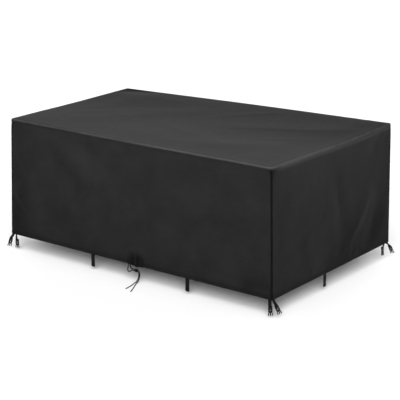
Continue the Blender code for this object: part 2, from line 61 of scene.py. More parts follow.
# ---- drawcord ----
# A 6 mm braided polyester cord that runs in the hem. Both its ends leave the hem at the middle
# of the front, pass through the toggle and hang to the ground, where their heat-sealed tips lie.
CORD_DIAMETER = 0.006
STRAND_PITCH = 0.0016
MELTED_TIP = 0.85        # its share of the cord's width
FLOOR_Z = -0.910
CORD_ENDS = {            # points from the hem to the tip, in millimetres
    "drawcord_a": (
        (-46.5, -676.4, -805.6), (-47.5, -677.5, -818), (-48, -680, -830), (-48, -682.5, -839.5),
        (-45.7, -684.5, -846.7), (-39.8, -685.7, -851.3), (-32.3, -686, -851.8), (-25.7, -686, -848.3),
        (-18.5, -686, -842.1), (-10, -686, -838.6), (0, -686, -837.4), (15, -686, -837.3),
        (27, -686, -837.3), (34, -686, -837.5), (40.2, -686, -839.7), (44.2, -686.2, -844.6),
        (45.5, -686.6, -851), (46, -687.5, -862.5), (44, -688.8, -876), (38.8, -692, -891.5),
        (33.2, -700.5, -905.2), (32.2, -716, -907), (43, -748, -907), (51, -787, -907), (56, -828, -907)),
    "drawcord_b": (
        (-34, -673.8, -806.8), (-33.3, -675.2, -814), (-28.5, -678.5, -820.8), (-20, -682.5, -825.5),
        (-9, -685.2, -828.2), (4, -686, -828.8), (15, -686, -828.7), (33, -686, -828.7),
        (42.5, -686, -831), (50.3, -686.2, -838.4), (53.5, -687, -849.2), (54.5, -688.5, -862),
        (52.5, -690, -877), (47.7, -693, -892.5), (44.8, -702, -905.2), (49.5, -718, -907),
        (66, -753, -907), (88, -795, -907), (115, -853, -907)),
}


def metres(rows):
    """Rows of numbers in millimetres, as tuples in metres."""
    return [tuple(value / 1000 for value in row) for row in rows]


def node(tree, kind, sockets=None, **settings):
    """Add a shader or geometry node; each socket gets a value or the output that feeds it."""
    made = tree.nodes.new(kind)
    for name, value in settings.items():
        setattr(made, name, value)
    for name, value in (sockets or {}).items():
        if isinstance(value, bpy.types.NodeSocket):
            tree.links.new(value, made.inputs[name])
        else:
            made.inputs[name].default_value = value
    return made


def output(tree, kind, sockets=None, **settings):
    return node(tree, kind, sockets, **settings).outputs[0]


def finish_material(name, **sockets):
    """A Principled material with its plain sockets set: the material, its tree and its shader."""
    material = bpy.data.materials.new(name)
    material.use_nodes = True
    shader = material.node_tree.nodes["Principled BSDF"]
    for socket, value in sockets.items():
        shader.inputs[socket.replace("_", " ")].default_value = value
    return material, material.node_tree, shader


def bump(shader, height, distance, strength=1.0):
    tree = shader.id_data
    made = node(tree, "ShaderNodeBump", {"Height": height, "Distance": distance, "Strength": strength})
    tree.links.new(made.outputs["Normal"], shader.inputs["Normal"])


def tint(shader, amount, dark, light):
    """Colour the shader between two shades by a 0 to 1 amount."""
    tree = shader.id_data
    made = node(tree, "ShaderNodeMix", {"Factor": amount}, data_type="RGBA")
    made.inputs["A"].default_value = (*dark, 1.0)
    made.inputs["B"].default_value = (*light, 1.0)
    tree.links.new(made.outputs["Result"], shader.inputs["Base Color"])


def calc(operation, first, second=0.0):
    """Arithmetic in a node tree, on an output and a value or another output."""
    return output(first.id_data, "ShaderNodeMath", {0: first, 1: second}, operation=operation)


def plus(first, second):
    return calc("ADD", first, second)


def times(first, second):
    return calc("MULTIPLY", first, second)


def speckle(tree, scale, detail, **sockets):
    return output(tree, "ShaderNodeTexNoise", {"Scale": scale, "Detail": detail, **sockets})


def metres_of(tree):
    """The piece's own coordinates from its UV map, in metres along and across it."""
    place = output(tree, "ShaderNodeUVMap", uv_map="metres")
    return place, node(tree, "ShaderNodeSeparateXYZ", {0: place}).outputs


def plaited_cord():
    """Black polyester braid: strands cross in two directions at 45 degrees to the cord."""
    material, tree, shader = finish_material("drawcord", Roughness=0.65, IOR=1.35, Specular_IOR_Level=0.2)
    _, where = metres_of(tree)
    pitch = 2 * math.pi / STRAND_PITCH
    strands = []
    for way in (1, -1):
        strands.append(calc("SINE", plus(times(where["Y"], way * pitch), times(where["X"], pitch))))
    height = calc("MAXIMUM", *strands)
    bump(shader, height, 0.00025)
    # Random tone, weighted by the braid's relief: partly painted shade in its hollows.
    amount = times(plus(height, 1.0), speckle(tree, 900.0, 3.0))
    tint(shader, amount, (0.001, 0.001, 0.001), (0.006, 0.006, 0.0062))
    return material


def smooth_route(points):
    """The points with one more between each two, on a smooth curve through them."""
    ends = [points[0] * 2 - points[1], *points, points[-1] * 2 - points[-2]]
    result = []
    for before, start, end, after in zip(ends, ends[1:], ends[2:], ends[3:]):
        result += [start, (start + end) * 9 / 16 - (before + after) / 16]
    return result + [points[-1]]


def add_piece(name, mesh, material, *nodes, slot=None):
    """Put a finished mesh in the scene in place of its CAD nodes, on the part's one body."""
    mesh.materials.append(material)
    mesh.shade_smooth()
    piece = put(name, mesh)
    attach(piece, "root")
    if nodes:
        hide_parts(*nodes)
    return piece


def loft(name, rings, along, around):
    """Closed skin through rings of points. Its UV map holds metres along and around it."""
    skin = bmesh.new()
    metres = skin.loops.layers.uv.new("metres")
    verts = [[skin.verts.new(point) for point in ring] for ring in rings]
    count = len(rings[0])
    for j in range(len(rings) - 1):
        for i in range(count):
            k = (i + 1) % count
            face = skin.faces.new((verts[j][i], verts[j][k], verts[j + 1][k], verts[j + 1][i]))
            for loop, (row, column) in zip(face.loops, ((j, i), (j, i + 1), (j + 1, i + 1), (j + 1, i))):
                loop[metres].uv = (along[row], around[column])
    skin.faces.new(verts[0])
    skin.faces.new(verts[-1])
    bmesh.ops.recalc_face_normals(skin, faces=skin.faces)
    mesh = bpy.data.meshes.new(name)
    skin.to_mesh(mesh)
    skin.free()
    return mesh


def distances(points):
    """Metres from the first point to each, along the line through them."""
    total = [0.0]
    for start, end in zip(points, points[1:]):
        total.append(total[-1] + (Vector(end) - Vector(start)).length)
    return total


def cord_mesh(name, points, radius, sides=12):
    """Round cord along the points; its melted tip is a little narrower."""
    rings = []
    across = Vector((0.0, 0.0, 1.0)).cross(points[1] - points[0]).normalized()
    for k, point in enumerate(points):
        direction = (points[min(k + 1, len(points) - 1)] - points[max(k - 1, 0)]).normalized()
        across = (across - direction * across.dot(direction)).normalized()
        other = direction.cross(across)
        turns = [2 * math.pi * i / sides for i in range(sides)]
        size = radius * (MELTED_TIP if k == len(points) - 1 else 1.0)
        rings.append([point + (across * math.cos(t) + other * math.sin(t)) * size for t in turns])
    around = [2 * math.pi * radius * i / sides for i in range(sides + 1)]
    return loft(name, rings, distances(points), around)


braid = plaited_cord()
for cord_name, rows in CORD_ENDS.items():
    route = metres(rows)
    points = smooth_route(smooth_route([Vector(row) for row in route]))
    cord = add_piece(f"{cord_name}_braid", cord_mesh(cord_name, points, CORD_DIAMETER / 2), braid,
                     cord_name, slot="drawcord")

# ---- cloth ----
# Black polyester in a plain weave, with a matt waterproof coating: 0.4 mm thick in the real cover.
# Packing has left it with soft creases. Its colour holds painted light and shade: a highlight along the
# rolled edges, shade at the seams, the hem and the gathers, and bands over the folds.
CLOTH_THICK = 0.0008
THREAD_PITCH = 0.0011


def roughen(shader, amount, least, most, start=0.0, end=1.0):
    """Let the roughness follow an amount that runs from start to end."""
    tree = shader.id_data
    sockets = {"Value": amount, "From Min": start, "From Max": end, "To Min": least, "To Max": most}
    tree.links.new(output(tree, "ShaderNodeMapRange", sockets), shader.inputs["Roughness"])


def coated_cloth():
    """Weave and slubs as relief; the coating is mottled at random, and painted lighter or darker by the
    cloth's painted shading, which stands in for light and shade.
    """
    material, tree, shader = finish_material("coated_cloth", IOR=1.24, Sheen_Weight=0.02, Sheen_Roughness=0.5)
    place, where = metres_of(tree)
    pitch = 2 * math.pi / THREAD_PITCH
    weave = times(*(calc("SINE", times(where[way], pitch)) for way in "XY"))
    slubs = speckle(tree, 420.0, 2.0, Vector=place)
    mottle = speckle(tree, 6.5, 5.0, Vector=place, Roughness=0.65)
    bump(shader, plus(weave, slubs), 0.00006, 0.7)
    # Mottle is random tone; the weave term follows the weave's relief, painted shade in its hollows.
    uneven = plus(plus(times(mottle, 0.26), 0.12), times(weave, 0.02))
    # The cloth's attribute adds painted light and shade: a highlight along the rolled edges, shade at seams,
    # hem and gathers, and bands over the folds.
    painted_shading = node(tree, "ShaderNodeAttribute", attribute_name="painted_shading").outputs["Fac"]
    tint(shader, plus(uneven, painted_shading), (0.0020, 0.0020, 0.0020), (0.0500, 0.0500, 0.0508))
    roughen(shader, mottle, 0.53, 0.60, 0.3, 0.7)
    return material


cloth = coated_cloth()

LENGTH = 2.10
WIDTH = 1.35
DROP = 0.80
SKIN = 0.002             # the CAD cloth's thickness: its outer face is this far over the furniture
ROLL = 0.013             # radius of the rolled edge, and the skirt under it
SKIRT = 0.009
CORNERS = (              # offsets of each corner from the sewn box: top x y z, hem x y z, radius
    (-1, -1, 0.012, -0.008, 0.003, -0.027, -0.002, 0.000, 0.014),
    (1, -1, -0.012, 0.004, 0.000, 0.008, -0.004, -0.007, 0.038),
    (1, 1, -0.006, 0.024, 0.007, 0.020, 0.003, 0.007, 0.014),
    (-1, 1, -0.040, -0.093, -0.012, -0.012, 0.005, 0.000, 0.018),
)
SAGS = (                 # each top edge's sag, and where it is deepest
    (0.003, 0.50), (0.009, 0.63), (-0.0035, 0.48), (0.003, 0.50),
)


def corner_at(index, depth):
    """Plan position of a corner, depth 0 at the top edge and 1 at the hem."""
    x, y, tx, ty, _, hx, hy, _, _ = CORNERS[index % 4]
    base = np.array((x * LENGTH / 2, y * WIDTH / 2))
    return base + np.array((tx, ty)) * (1 - depth) + np.array((hx, hy)) * depth


def side_length(side, depth):
    return np.linalg.norm(corner_at(side + 1, depth) - corner_at(side, depth))


def unit(vector):
    return vector / np.linalg.norm(vector)


def ease(value):
    value = np.clip(value, 0.0, 1.0)
    return value * value * (3.0 - 2.0 * value)


def bell(distance, width):
    return np.exp(-(distance / width) ** 2)


def top_rise(side, fraction):
    """Height of the top edge over the sewn box, part of the way from the side's first corner."""
    start, end = CORNERS[side][4], CORNERS[(side + 1) % 4][4]
    sag, at = SAGS[side]
    power = math.log(0.5) / math.log(at)
    dip = sag * np.sin(np.pi * np.clip(fraction, 0.0, 1.0) ** power) ** 2
    return start + (end - start) * fraction - dip


def hem_rise(side, fraction):
    start, end = CORNERS[side][7], CORNERS[(side + 1) % 4][7]
    return start + (end - start) * fraction


def nearest(u, v, line):
    """Distance to a line of points, and the share of its length where it comes nearest."""
    line = np.array(line, float).reshape(-1, 2)
    lengths = np.hypot(*np.diff(line, axis=0).T)
    best = np.full(u.shape, 1e9)
    share = np.zeros(u.shape)
    start = 0.0
    for a, b, length in zip(line, line[1:], lengths):
        way = (b - a) / length
        run = np.clip((u - a[0]) * way[0] + (v - a[1]) * way[1], 0.0, length)
        off = np.hypot(u - a[0] - way[0] * run, v - a[1] - way[1] * run)
        share = np.where(off < best, (start + run) / lengths.sum(), share)
        best = np.minimum(off, best)
        start += length
    return best, share


def crease(u, v, row, sharp):
    """Height of a soft ridge (rise > 0) or trough; it runs out at its ends.

    The row holds its width and rise and then its points, two numbers each, all in millimetres.
    """
    width, rise, *line = np.array(row) / 1000
    off, share = nearest(u, v, line)
    taper = np.clip(4.0 * share * (1.0 - share), 0.0, 1.0) ** 0.6 + 0.12
    reach = off / width
    round_part = (1 - sharp) * np.exp(-reach ** 2)
    return rise * taper * (round_part + sharp * np.exp(-np.sqrt(reach ** 2 * 3 + 0.09) + 0.3))


def rumple(u, v, scale, seed, stretch=(1.0, 1.0)):
    """Smooth unevenness of about plus or minus one, of the given size in metres."""
    flat_u, flat_v = (u / scale * stretch[0]).ravel(), (v / scale * stretch[1]).ravel()
    values = [noise.noise(Vector((a, b, seed))) for a, b in zip(flat_u, flat_v)]
    return np.array(values).reshape(u.shape)


def cloth_grid(name, *grids):
    """Mesh of rows x columns arrays: points, cloth coordinates in metres as UV map, and painted shading.

    Painted shading is how much lighter (or darker, below zero) the colour is painted at each point, in place
    of light and shade.
    """
    verts, faces, places, wear_and_painted_shading = [], [], [], []
    for points, u, v, painted_shading in grids:
        rows, columns = points.shape[:2]
        index = np.arange(rows * columns).reshape(rows, columns) + sum(len(part) for part in verts)
        verts.append(points.reshape(-1, 3))
        quads = (index[:-1, :-1], index[:-1, 1:], index[1:, 1:], index[1:, :-1])
        faces.append(np.stack(quads, -1).reshape(-1, 4))
        places.append(np.stack((u, v), -1).reshape(-1, 2))
        wear_and_painted_shading.append(painted_shading.ravel())
    verts, faces, places, wear_and_painted_shading = (np.concatenate(parts) for parts in (verts, faces, places, wear_and_painted_shading))
    mesh = bpy.data.meshes.new(name)
    mesh.from_pydata(verts.tolist(), [], faces.tolist())
    mesh.uv_layers.new(name="metres").data.foreach_set("uv", places[faces.ravel()].astype("f").ravel())
    mesh.attributes.new("painted_shading", "FLOAT", "POINT").data.foreach_set("value", wear_and_painted_shading.astype("f"))
    return mesh


def finished_mesh(piece):
    """A plain copy of the piece's mesh, with its modifiers applied."""
    depsgraph = bpy.context.evaluated_depsgraph_get()
    return bpy.data.meshes.new_from_object(piece.evaluated_get(depsgraph))


def thicken(piece, thickness):
    """Turn the sheet into cloth; the modifier is applied."""
    solid = piece.modifiers.new("thickness", "SOLIDIFY")
    solid.thickness = thickness
    solid.offset = -1.0
    solid.use_even_offset = False
    mesh = finished_mesh(piece)
    piece.modifiers.clear()
    piece.data = mesh


# ---- top panel ----
# One rectangle of the cloth. Its edge rolls over the furniture's edge and is sewn to the side
# panels just below it, with both raw edges turned in.
GROOVE = metres(((2.4, 0.2), (1.3, 0.3), (0.6, 0.7), (0.2, 1.5), (0, 3)))      # depths and heights
RIGHT_GROOVE = 0.4       # the seam is less deep on the right
ROLL_FACES = 9
RINGS = len(GROOVE) + ROLL_FACES + 1
ARC_LINES = RINGS + 1
ARC_REACH = 0.050
LEAST_RADIUS = 0.003
TOP_FACES = (186, 118)
TOP_BAND = 0.17          # share of the panel over which the edge's own rise and sag run out
TOP_FOLDS = (            # width, rise, and points in x and y, in millimetres
    (110, 4, 150, -50, 1000, 400), (120, 4, -750, -450, -100, 300), (100, 4, 300, -500, 850, -200),
)
TOP_CREASES = (          # as the folds, but narrower and half as round
    (30, 1.2, 242, -38, 700, 200, 1000, 430), (45, 1.4, -56, 91, 341, 600),
    (50, 1.4, -284, -153, 200, -300, 649, -442), (60, 1.6, -900, -300, -700, -172, -450, 100),
    (50, 1.2, 600, -150, 900, 60),
)

def turned(degrees):
    turn = math.radians(degrees)
    return math.cos(turn), math.sin(turn)


def edge_profile(ring):
    """Inset and height of an outline of the top panel; ring 0 is the turned-in raw edge."""
    if ring < len(GROOVE):
        sink, up = GROOVE[ring]
        return sink, SKIN - ROLL - SKIRT + up
    cos, sin = turned(90.0 * (ring - len(GROOVE)) / ROLL_FACES)
    return ROLL * (1.0 - cos), SKIN - ROLL * (1.0 - sin)


def arc_point(corner, toward, inset, radius=0.0, angle=0.0):
    """Point of a rounded corner, from 45 degrees at its middle to 0 on the side."""
    point = corner_at(corner, 0.0)
    other = corner + 1 if (toward - corner) % 4 == 3 else corner - 1
    own, across = unit(corner_at(toward, 0.0) - point), unit(corner_at(other, 0.0) - point)
    center = point + (own + across) * (inset + radius)
    return center - radius * (across * math.cos(angle) + own * math.sin(angle))


def line_fraction(line, count, length):
    """Share of the way along a side at a grid line; the first and last lines are closer together."""
    if line < ARC_LINES:
        distance = ARC_REACH * (line - RINGS + 1) / (ARC_LINES - RINGS + 1)
    elif line > count - ARC_LINES:
        distance = length - ARC_REACH * (count - line - RINGS + 1) / (ARC_LINES - RINGS + 1)
    else:
        distance = ARC_REACH + (line - ARC_LINES) * (length - 2 * ARC_REACH) / (count - 2 * ARC_LINES)
    return distance / length


def rim_point(side, line, count, ring):
    """Point of the rolled edge: on an outline of the panel, at one of the side's grid lines."""
    inset, height = edge_profile(ring)
    if side == 1 and ring < len(GROOVE):
        inset *= RIGHT_GROOVE
    near = min(line, count - line)
    if near < ARC_LINES:
        first = line < count - line
        corner, toward = (side, side + 1) if first else (side + 1, side)
        angle = math.radians(45.0) * (ARC_LINES - 1 - near) / (ARC_LINES - 1 - ring)
        radius = max(CORNERS[corner % 4][8] - inset, LEAST_RADIUS)
        plan, fraction = arc_point(corner, toward, inset, radius, angle), 0.0 if first else 1.0
    else:
        fraction = line_fraction(line, count, side_length(side, 0.0))
        plan = arc_point(side, side + 1, inset) * (1 - fraction) + arc_point(side + 1, side, inset) * fraction
    return (*plan, height + top_rise(side, fraction))


def edge_highlight(ring, x, y):
    """A painted highlight where the cloth turns over the edge, brightest at the front right, a little uneven
    along it.
    """
    if ring >= RINGS:
        return 0.08 if ring == RINGS else 0.03 if ring == RINGS + 1 else 0.0
    turn = 90.0 * (ring - len(GROOVE)) / ROLL_FACES
    low = ease((x - LENGTH / 2 + 0.10) / 0.05) * ease((y + WIDTH / 2 - 0.01) / 0.12)
    rolled = low + (1.0 - low) * ease(turn / 20.0)
    amount = 0.60 * rolled * float(1.0 - ease((turn - 50.0) / 40.0))
    near = bell(math.hypot(x - LENGTH / 2, y + WIDTH / 4), 0.6)
    near += 0.7 * bell(math.hypot(x - 0.30, y + WIDTH / 2), 0.35)
    return amount * (0.75 + 0.45 * near + 0.30 * noise.noise(Vector((x, y, 2.3)) / 0.07))


def top_cloth():
    """The rolled edge on all four sides, the flat top inside it, and the cloth's relief."""
    columns, rows = TOP_FACES[0] + 2 * ARC_LINES, TOP_FACES[1] + 2 * ARC_LINES
    points, painted_shading = np.zeros((rows + 1, columns + 1, 3)), np.zeros((rows + 1, columns + 1))
    flat = [arc_point(k, k + 1, ROLL) for k in range(4)]
    for j in range(rows + 1):
        for i in range(columns + 1):
            ring = min(i, columns - i, j, rows - j)
            if ring < RINGS:
                inset = (j, columns - i, rows - j, i)
                side = inset.index(ring)
                count = rows if side % 2 else columns
                points[j, i] = rim_point(side, inset[side - 1], count, ring)
            else:
                s, t = line_fraction(i, columns, LENGTH), line_fraction(j, rows, WIDTH)
                plan = (flat[0] * (1 - s) + flat[1] * s) * (1 - t) + (flat[3] * (1 - s) + flat[2] * s) * t
                edges = enumerate(((s, t), (t, 1 - s), (1 - s, 1 - t), (1 - t, s)))
                rise = sum(top_rise(side, along) * (1.0 - ease(inside / TOP_BAND))
                           for side, (along, inside) in edges)
                points[j, i] = (*plan, SKIN + rise)
            painted_shading[j, i] = edge_highlight(ring, *points[j, i, :2])
    x, y = points[..., 0], points[..., 1]
    reach = np.minimum(LENGTH / 2 - abs(x), WIDTH / 2 - abs(y))
    # Painted light on the top: lighter at the front, darker towards the back and the left.
    painted_shading += 0.055 - 0.240 * ease((y + 0.45) / 0.9) - 0.090 * ease((-x - 0.10) / 0.8)
    relief = sum(crease(x, y, row, 0.0) for row in TOP_FOLDS)
    relief += sum(crease(x, y, row, 0.5) for row in TOP_CREASES)
    relief += 0.0007 * (1 + rumple(x, y, 0.16, 3.1)) + 0.00035 * (1 + rumple(x, y, 0.045, 7.7))
    points[..., 2] += relief * ease((reach - 2 * ROLL) / 0.20)
    rim = ease(1.0 - abs(reach - 0.004) / 0.02)
    points[..., 2] += rim * (0.0010 * rumple(x, y, 0.05, 12.3) + 0.0012 * rumple(x, y, 0.22, 15.1))
    return cloth_grid("top_panel", (points, x, y, painted_shading))


top = add_piece("top_cloth", top_cloth(), cloth, "top_panel", slot="coated_cloth")
thicken(top, CLOTH_THICK)

# ---- side panels ----
# Four rectangles of the cloth, sewn to the top panel and to each other with the raw edges turned
# in. The lower edge is turned up inside as a 25 mm channel hem, which holds the drawcord.
SIDES = ("front", "right", "back", "left")
TOP_GAP = 0.0003
HEM_HEIGHT = 0.0225
HEM_ROUND = 0.0020
HEM_RADIUS = 0.008
CORNER_EASE = 0.06       # depth in which the corners' radius at the top becomes that at the hem
SEAM_CLEAR = 0.00018     # half the gap between two panels; then depths beside seams and stitches
TOP_SINK = (0.0022, 0.0008, 0.0022, 0.0022)
SEAM_SINK = 0.0042
STITCH_SINK = 0.0004
PUCKER = 0.0010
GATHER_AT = 1.065        # the cloth bunched above the drawcord's exit: place, wave, height, extent
GATHER_PITCH = 0.044
GATHER_RISE = 0.006
GATHER_SPREAD = 0.040
GATHER_HEIGHT = 0.12
GATHER_DIP = 0.010
# Grid lines beside a corner seam, below the top edge, beside the hem's stitches and above its edge.
NEAR_SEAM = np.array((0, 0.6, 1.3, 2.2, 3.4, 5, 6.8, 9, 12, 15.5, 20, 26, 33, 41)) / 1000
NEAR_TOP = np.array((0, 0.4, 0.8, 1.6, 3, 4.2, 5.4, 6.8, 9, 12.5, 17.5, 23.5)) / 1000
NEAR_STITCH = np.array((-2.4, 0, 2.4)) / 1000
NEAR_HEM = np.array((11.5, 7, 4, 2, 0)) / 1000
MARGIN, FACE_SIZE = 0.050, 0.0082
HEM_STITCH_ROW, TOP_STITCH_ROW, SEAM_STITCH_COLUMN = -7, 7, 6     # grid lines that carry stitches
CAD_FOLDS = {            # the solids' soft folds: width, rise, and points along and down, in millimetres
    "front": (
        (60.75, 7.2, 50, 160, 200, 360), (67.5, 9.6, 360, 80, 740, 360), (60.75, -7.2, 660, 40, 880, 200),
        (54, 6.4, 940, 50, 1040, 320), (67.5, 8, 20, 480, 300, 700), (60.75, 6.4, 550, 420, 720, 660),
        (67.5, 5.6, 980, 440, 1120, 600), (67.5, -1.6, 1080, 350, 1570, 300),
        (54, 4.8, 1600, 20, 1700, 100), (67.5, 5.6, 1780, 180, 1900, 320),
        (60.75, 6.4, 1580, 660, 1920, 670)),
    "right": (
        (60.75, -7.2, 710, 220, 770, 480), (67.5, 9.6, 1080, 380, 840, 680),
        (67.5, -7.2, 1220, 500, 1100, 700), (54, -6.4, 1160, 80, 1300, 10), (81, 4.8, 200, 160, 520, 140),
        (60.75, 4.8, 360, 550, 460, 740)),
    "back": (
        (94.5, 8, 350, 100, 620, 400), (94.5, -7.2, 1300, 120, 1050, 500),
        (101.25, 9.6, 1900, 60, 1600, 550)),
    "left": (
        (94.5, 8, 100, 80, 420, 500), (94.5, -6.4, 1050, 300, 800, 660)),
}
CREASES = {              # finer creases on them, in the same way
    "front": (
        (27, 2.4, 50, 170, 110, 250, 170, 340), (21, 2, 267, 73, 310, 100, 353, 127),
        (42, -4.4, 360, 120, 470, 220, 570, 300, 660, 380),
        (51, 6, 460, 100, 580, 175, 700, 250, 800, 320), (30, -2.8, 670, 50, 790, 165, 886, 250),
        (45, 1.6, 722, 149, 800, 200, 886, 227), (21, -2.8, 923, 59, 986, 159, 1040, 312),
        (21, 2.4, 963, 66, 1008, 272), (27, 3.2, 15, 440, 156, 568, 261, 639),
        (27, -2.4, 21, 509, 126, 608), (24, 2.4, 139, 536, 271, 630, 348, 720),
        (21, 2, 411, 468, 451, 549), (30, -2.4, 619, 472, 708, 637), (27, 2.4, 996, 470, 1100, 562),
        (18, 2.4, 1511, 31, 1571, 77), (18, 2.8, 1609, 15, 1698, 87), (18, 2.4, 1050, 15, 1080, 60),
        (24, -2.4, 1816, 196, 1882, 289), (24, -2, 1773, 371, 1832, 410),
        (27, 2.8, 1571, 645, 1625, 685, 1740, 682, 1849, 652), (36, -3.6, 1800, 715, 1960, 710, 2090, 690),
        (18, -0.64, 1079, 350, 1300, 325, 1571, 295)),
    "right": (
        (52.5, 2.4, 283, 101, 482, 126), (27, -2.8, 730, 257, 747, 365, 764, 460),
        (27, 4, 1070, 420, 920, 580, 840, 680), (30, -2.8, 963, 562, 870, 660, 767, 744),
        (67.5, -2.4, 1125, 555, 1260, 656), (21, 2, 959, 695, 912, 743), (21, 2, 410, 715, 460, 755),
        (21, -2.4, 1191, 29, 1279, 13), (21, 2.4, 1200, 90, 1310, 20)),
    "back": (
        (30, 3.2, 360, 100, 500, 260, 630, 410), (30, 3.6, 1880, 70, 1760, 300, 1610, 540),
        (27, -2.4, 1020, 50, 1000, 300), (30, 2.8, 100, 450, 280, 660)),
    "left": (
        (30, 3.2, 110, 90, 260, 290, 410, 490), (27, -2.8, 1040, 310, 810, 650),
        (21, 2.4, 600, 30, 660, 160)),
}
SHADE_BANDS = {                # painted light (+) or shade (-) in bands and patches: width, a thousand times the change, points
    "front": (
        (75, 67.5, 530, 100, 800, 260), (50, -52.5, 360, 110, 660, 370), (40, -45, 630, 70, 760, 120),
        (30, 22.5, 100, 140, 200, 300, 280, 630), (110, 30, 1450, 180, 1520, 400),
        (130, -60, 0, 500, 100, 760), (110, -52.5, 420, 500, 600, 740), (30, 45, 1600, 730, 1860, 720),
        (40, -60, 1850, 720, 2100, 710), (180, -67.5, 0, -200, 50, 400, 0, 1000)),
    "right": (
        (170, -127.5, 600, 820, 1330, 550), (140, 45, 200, 100, 600, 200), (25, -37.5, 90, 220, 90, 520),
        (45, 22.5, 1180, 420, 660, 740), (120, -90, 1400, -200, 1360, 450, 1400, 1000)),
    "back": (
        (80, 52.5, 400, 100, 660, 420), (90, -45, 1840, 100, 1550, 560)),
    "left": (
        (80, 52.5, 140, 100, 460, 520), (80, -45, 1050, 300, 780, 680)),
}
SEAM_SHADE = {            # reach of the painted shade line at the panel's first and second corner seam
    "front": (0.010, 0.008), "right": (0.004, 0.011), "back": (0.006, 0.006), "left": (0.006, 0.006),
}


def seam_to_seam(length):
    """Distances of the grid lines from the first corner seam: close together near the seams."""
    count = round((length - 2 * MARGIN) / FACE_SIZE)
    middle = np.linspace(MARGIN, length - MARGIN, count + 1)
    return np.concatenate((NEAR_SEAM, middle, length - NEAR_SEAM[::-1]))


def half_row(corner, way, depth, run, length):
    """Plan points of a panel's row, at distances run from its seam at the corner.

    The cloth turns 45 degrees at the corner and sinks into the seam. What the corners' slant adds
    to the row's length is taken up further on.
    """
    point, far, other = (corner_at(corner + step, depth) for step in (0, way, -way))
    span = np.linalg.norm(far - point)
    own, across = (far - point) / span, unit(other - point)
    out = way * np.array((own[1], -own[0]))
    lower = ease(depth * DROP / CORNER_EASE)
    radius = CORNERS[corner % 4][8] * (1 - lower) + HEM_RADIUS * lower
    bend = radius * math.pi / 4
    fade = 1.0 - ease((run - 0.04) / 0.3)
    place = run * (1 + (span / length - 1) * (1 - fade)) + (radius - bend) * fade
    angle = np.clip(math.pi / 4 - run / radius, 0.0, None)[:, None]
    center = point + (own + across) * radius
    arc = center - radius * (across * np.cos(angle) + own * np.sin(angle))
    plan = np.where((run < bend)[:, None], arc, point + place[:, None] * own)
    sink = SEAM_SINK * np.exp(-run / 0.0020) + STITCH_SINK * bell(run - NEAR_SEAM[SEAM_STITCH_COLUMN], 0.0014)
    clear = SEAM_CLEAR * (run < NEAR_SEAM[1] / 2)
    return plan + unit(own - out) * sink[:, None] + unit(own + out) * clear[:, None]


def soft_fold(u, v, row):
    width, rise, *line = np.array(row) / 1000
    return rise * bell(nearest(u, v, line)[0], width)


def side_relief(side, u, down, left, length):
    """How far a panel's cloth stands out, and how far the gathers pull it down."""
    name = SIDES[side]
    beside = np.minimum(u, length - u)
    fade = ease(np.minimum(beside, left) / 0.09) * ease(down / 0.06)
    stand = sum(soft_fold(u, down, row) for row in CAD_FOLDS[name]) * fade
    edge = ease(np.minimum(beside, left - 0.02) / 0.03) * ease(down / 0.012)
    stand += edge * sum(crease(u, down, row, 0.3) for row in CREASES[name])
    stand += edge * (0.0016 * rumple(u, down, 0.17, side + 2.5, (1.0, 0.8))
                     + 0.0008 * rumple(u + 0.4 * down, down, 0.055, side + 9.5, (1.0, 0.7)))
    pucker = rumple(u, down, 0.016, side + 20.5, (1.0, 0.35))
    stand += PUCKER * pucker * bell(down - 0.014, 0.016)
    stand += PUCKER * pucker * bell(left - 0.030, 0.014)
    stand += 0.0006 * rumple(u, down, 0.020, side + 30.5, (0.4, 1.0)) * bell(beside - 0.014, 0.011)
    weight = 0.0
    if name == "front":
        weight = bell(u - GATHER_AT, GATHER_SPREAD) * ease(1.0 - left / GATHER_HEIGHT)
        stand += GATHER_RISE * np.cos(2 * math.pi * (u - GATHER_AT) / GATHER_PITCH) * weight
        stand += 0.0022 * rumple(u, down, 0.014, 44.5, (1.0, 0.4)) * weight
    stand -= 0.00035 * bell(left - HEM_HEIGHT, 0.0018)
    stand += 0.0006 * np.clip(1 - ((left - 0.012) / 0.011) ** 2, 0.0, 1.0)
    stand -= TOP_SINK[side] * np.exp(-down / 0.0009)
    stand -= 0.0003 * bell(down - NEAR_TOP[TOP_STITCH_ROW], 0.0016)
    return stand, GATHER_DIP * weight


def side_shade(name, u, down, left, length):
    """Painted light and shade on a panel: shade at the seams, the hem and the gathers, darker towards the
    bottom, and bands over the folds.
    """
    # Painted shade: darker towards the bottom.
    painted_shading = 0.01 - 0.075 * down / DROP
    # Painted shade along each corner seam, wider near the top.
    for distance, reach in zip((u, length - u), SEAM_SHADE[name]):
        painted_shading -= 0.30 * bell(distance, reach) + 0.15 * bell(distance, 0.03) * np.exp(-down / 0.05)
    # Painted shade along the hem's stitch line, its edge and its lowest part.
    painted_shading -= 0.12 * bell(left - HEM_HEIGHT, 0.0026) + 0.16 * bell(left, 0.005)
    painted_shading -= 0.08 * np.exp(-left / 0.05)
    # Painted light and shade in bands over the folds.
    painted_shading += sum(crease(u, down, row, 0.0) for row in SHADE_BANDS[name])
    # On the right panel: a painted highlight just below the top edge, lighter near the top, and darker over
    # all.
    if name == "right":
        painted_shading += ease(u / 0.12) * 0.38 * np.exp(-(down / 0.014) ** 4)
        painted_shading += ease(u / 0.20) * 0.10 * np.exp(-down / 0.07)
        painted_shading -= 0.035 + 0.02 * down / DROP
    # On the front: painted shade in the gathers over the drawcord's exit and at the exit itself.
    if name == "front":
        bunch = np.exp(-((u - 1.060) / 0.062) ** 4) * ease((0.105 - left) / 0.055)
        painted_shading -= bunch * (0.17 + 0.10 * rumple(u, down, 0.016, 51.5, (1.0, 0.4)))
        painted_shading -= 0.25 * bell(u - 1.022, 0.022) * bell(left, 0.030)
    return painted_shading


